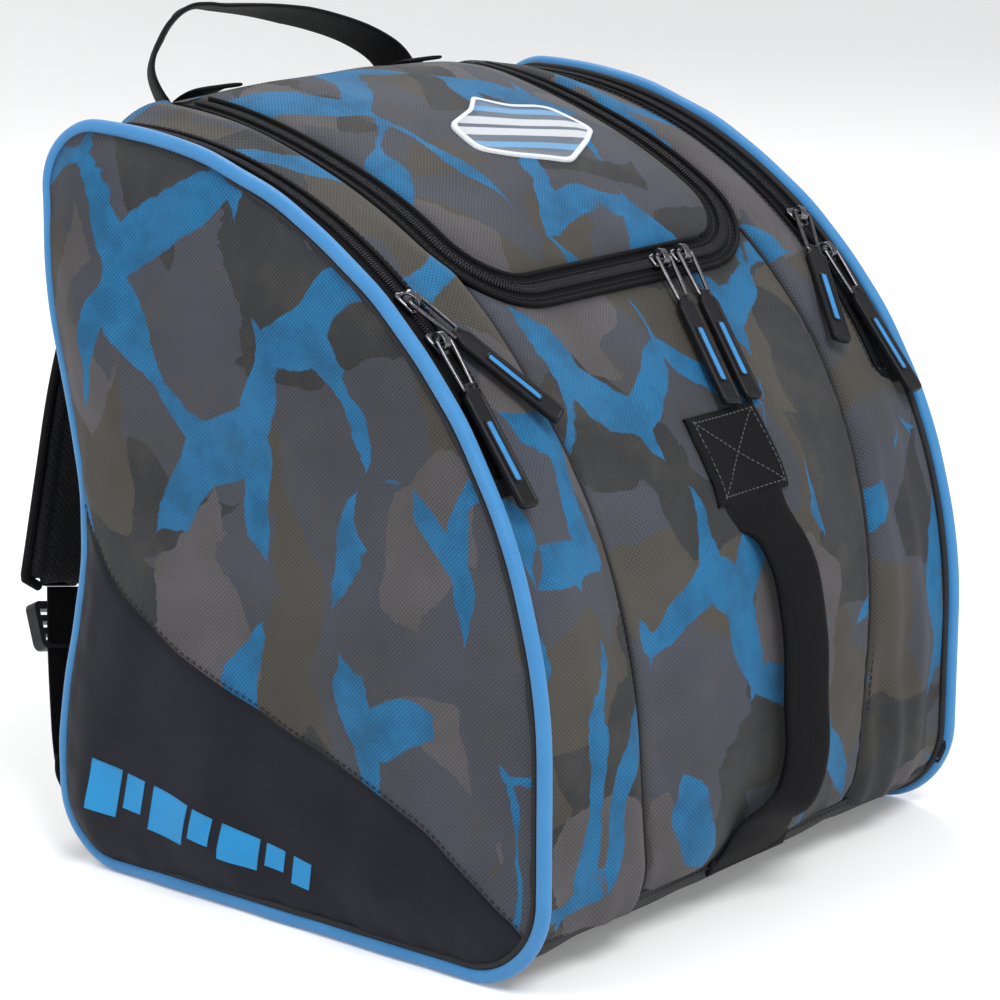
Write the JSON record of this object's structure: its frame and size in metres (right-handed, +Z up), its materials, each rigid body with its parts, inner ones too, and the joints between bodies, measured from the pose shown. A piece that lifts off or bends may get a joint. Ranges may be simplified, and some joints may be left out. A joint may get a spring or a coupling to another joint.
{
  "type": "ski boot bag",
  "caption": "Wedge-shaped ski boot backpack with a zipped top lid, fold-down side flaps for boots, corded edging and webbing handles.",
  "frame": {"origin": "centre of the flat base pad, on the surface the bag stands on", "axes": "+Z up, -Y towards the rounded front, +Y towards the wearer's back, X across the bag"},
  "size_m": [0.36, 0.424, 0.4226],
  "materials": {
    "zip_metal": "gunmetal, polished",
    "pull_rubber": "matte moulded rubber with a blue inset line",
    "piping": "bright blue woven cord edging",
    "zip_tape": "black woven tape and spiral coil",
    "webbing": "black woven webbing",
    "padding": "black mesh over foam",
    "black_plastic": "moulded, satin",
    "badge": "embroidered patch",
    "plain_fabric": "dark slate woven nylon",
    "base_fabric": "black coated nylon",
    "patterned_fabric": "grey, brown and blue camouflage weave"
  },
  "bodies": {
    "bag": {"base_panel": "base_fabric", "base_stiffener": "black_plastic", "back_panel": "base_fabric", "back_pads": "padding", "top_yoke": "patterned_fabric", "centre_front_panel": "patterned_fabric", "lid_zip_fixed": "zip_tape", "handle_anchors": "webbing", "grab_patch": "webbing", "grab_roots": "webbing", "left_gusset": "patterned_fabric", "left_divider": "plain_fabric", "left_lower_panel": "plain_fabric", "left_side_panel": "patterned_fabric", "left_piping": "piping", "left_side_zip_fixed": "zip_tape", "left_strap_roots": "webbing", "right_gusset": "patterned_fabric", "right_divider": "plain_fabric", "right_lower_panel": "plain_fabric", "right_side_panel": "patterned_fabric", "right_piping": "piping", "right_side_zip_fixed": "zip_tape", "right_strap_roots": "webbing"},
    "lid": {"lid_panel": "patterned_fabric", "lid_zip_moving": "zip_tape", "lid_badge": "badge"},
    "top_handle": {"top_handle": "webbing"},
    "grab_strap": {"grab_strap": "webbing"},
    "left_flap": {"left_flap_panel": "patterned_fabric", "left_flap_piping": "piping", "left_side_zip_moving": "zip_tape"},
    "left_shoulder_strap": {"left_shoulder_strap": "padding", "left_strap_buckle": "black_plastic", "left_strap_webbing": "webbing"},
    "right_flap": {"right_flap_panel": "patterned_fabric", "right_flap_piping": "piping", "right_side_zip_moving": "zip_tape"},
    "right_shoulder_strap": {"right_shoulder_strap": "padding", "right_strap_buckle": "black_plastic", "right_strap_webbing": "webbing"},
    "lid_left_slider": {"lid_left_slider": "zip_metal"},
    "lid_left_pull": {"lid_left_pull_wire": "zip_metal", "lid_left_pull_tab": "pull_rubber"},
    "lid_right_slider": {"lid_right_slider": "zip_metal"},
    "lid_right_pull": {"lid_right_pull_wire": "zip_metal", "lid_right_pull_tab": "pull_rubber"},
    "left_upper_slider": {"left_upper_slider": "zip_metal"},
    "left_upper_pull": {"left_upper_pull_wire": "zip_metal", "left_upper_pull_tab": "pull_rubber"},
    "left_lower_slider": {"left_lower_slider": "zip_metal"},
    "left_lower_pull": {"left_lower_pull_wire": "zip_metal", "left_lower_pull_tab": "pull_rubber"},
    "right_upper_slider": {"right_upper_slider": "zip_metal"},
    "right_upper_pull": {"right_upper_pull_wire": "zip_metal", "right_upper_pull_tab": "pull_rubber"},
    "right_lower_slider": {"right_lower_slider": "zip_metal"},
    "right_lower_pull": {"right_lower_pull_wire": "zip_metal", "right_lower_pull_tab": "pull_rubber"}
  },
  "joints": [
    {"name": "lid_hinge", "type": "hinge", "parent": "bag", "child": "lid", "pos_m": [0, 0.122, 0.3823], "axis": [-1, 0, 0], "range_deg": [0, 110]},
    {"name": "left_flap_fold", "type": "hinge", "parent": "bag", "child": "left_flap", "pos_m": [-0.1803, 0, 0.242], "axis": [0, -1, 0], "range_deg": [0, 125]},
    {"name": "right_flap_fold", "type": "hinge", "parent": "bag", "child": "right_flap", "pos_m": [0.1803, 0, 0.242], "axis": [0, 1, 0], "range_deg": [0, 125]},
    {"name": "lid_left_slide", "type": "slide", "parent": "lid", "child": "lid_left_slider", "axis": [1, 0, 0], "range_m": [-0.088, 0.002]},
    {"name": "lid_left_pull_swing", "type": "hinge", "parent": "lid_left_slider", "child": "lid_left_pull", "pos_m": [0.028, -0.07054, 0.31467], "axis": [-0.9781, 0.1533, 0.1405], "range_deg": [0, 150]},
    {"name": "lid_right_slide", "type": "slide", "parent": "lid", "child": "lid_right_slider", "axis": [1, 0, 0], "range_m": [-0.002, 0.014]},
    {"name": "lid_right_pull_swing", "type": "hinge", "parent": "lid_right_slider", "child": "lid_right_pull", "pos_m": [0.046, -0.07054, 0.31467], "axis": [-0.9781, 0.1533, 0.1405], "range_deg": [0, 150]},
    {"name": "left_upper_slide", "type": "hinge", "parent": "left_flap", "child": "left_upper_slider", "pos_m": [-0.16, 0.117, 0.11], "axis": [-1, 0, 0], "range_deg": [0, 37]},
    {"name": "left_upper_pull_swing", "type": "hinge", "parent": "left_upper_slider", "child": "left_upper_pull", "pos_m": [-0.16, -0.06512, 0.31951], "axis": [-0.8829, -0.3543, -0.308], "range_deg": [0, 150]},
    {"name": "left_lower_slide", "type": "hinge", "parent": "left_flap", "child": "left_lower_slider", "pos_m": [-0.16, 0.117, 0.11], "axis": [-1, 0, 0], "range_deg": [-12, 0]},
    {"name": "left_lower_pull_swing", "type": "hinge", "parent": "left_lower_slider", "child": "left_lower_pull", "pos_m": [-0.16, -0.08336, 0.30214], "axis": [-0.9994, 0.0242, 0.0252], "range_deg": [0, 150]},
    {"name": "right_upper_slide", "type": "hinge", "parent": "right_flap", "child": "right_upper_slider", "pos_m": [0.16, 0.117, 0.11], "axis": [-1, 0, 0], "range_deg": [0, 37]},
    {"name": "right_upper_pull_swing", "type": "hinge", "parent": "right_upper_slider", "child": "right_upper_pull", "pos_m": [0.16, -0.06512, 0.31951], "axis": [-0.8829, 0.3543, 0.308], "range_deg": [0, 150]},
    {"name": "right_lower_slide", "type": "hinge", "parent": "right_flap", "child": "right_lower_slider", "pos_m": [0.16, 0.117, 0.11], "axis": [-1, 0, 0], "range_deg": [-12, 0]},
    {"name": "right_lower_pull_swing", "type": "hinge", "parent": "right_lower_slider", "child": "right_lower_pull", "pos_m": [0.16, -0.08336, 0.30214], "axis": [-0.9994, -0.0242, -0.0252], "range_deg": [0, 150]},
    {"name": "top_handle_swing", "type": "hinge", "parent": "bag", "child": "top_handle", "pos_m": [0, 0.15017, 0.38572], "axis": [-1, 0, 0], "range_deg": [-45, 45]},
    {"name": "grab_strap_swing", "type": "hinge", "parent": "bag", "child": "grab_strap", "pos_m": [0, -0.16607, 0.03], "axis": [0, 0.0827, 0.9966], "range_deg": [-80, 25]},
    {"name": "left_strap_swing", "type": "hinge", "parent": "bag", "child": "left_shoulder_strap", "pos_m": [-0.146, 0.174, 0.028], "axis": [0.2082, 0, 0.9781], "range_deg": [-20, 20]},
    {"name": "right_strap_swing", "type": "hinge", "parent": "bag", "child": "right_shoulder_strap", "pos_m": [0.146, 0.174, 0.028], "axis": [-0.2082, 0, 0.9781], "range_deg": [-20, 20]}
  ]
}
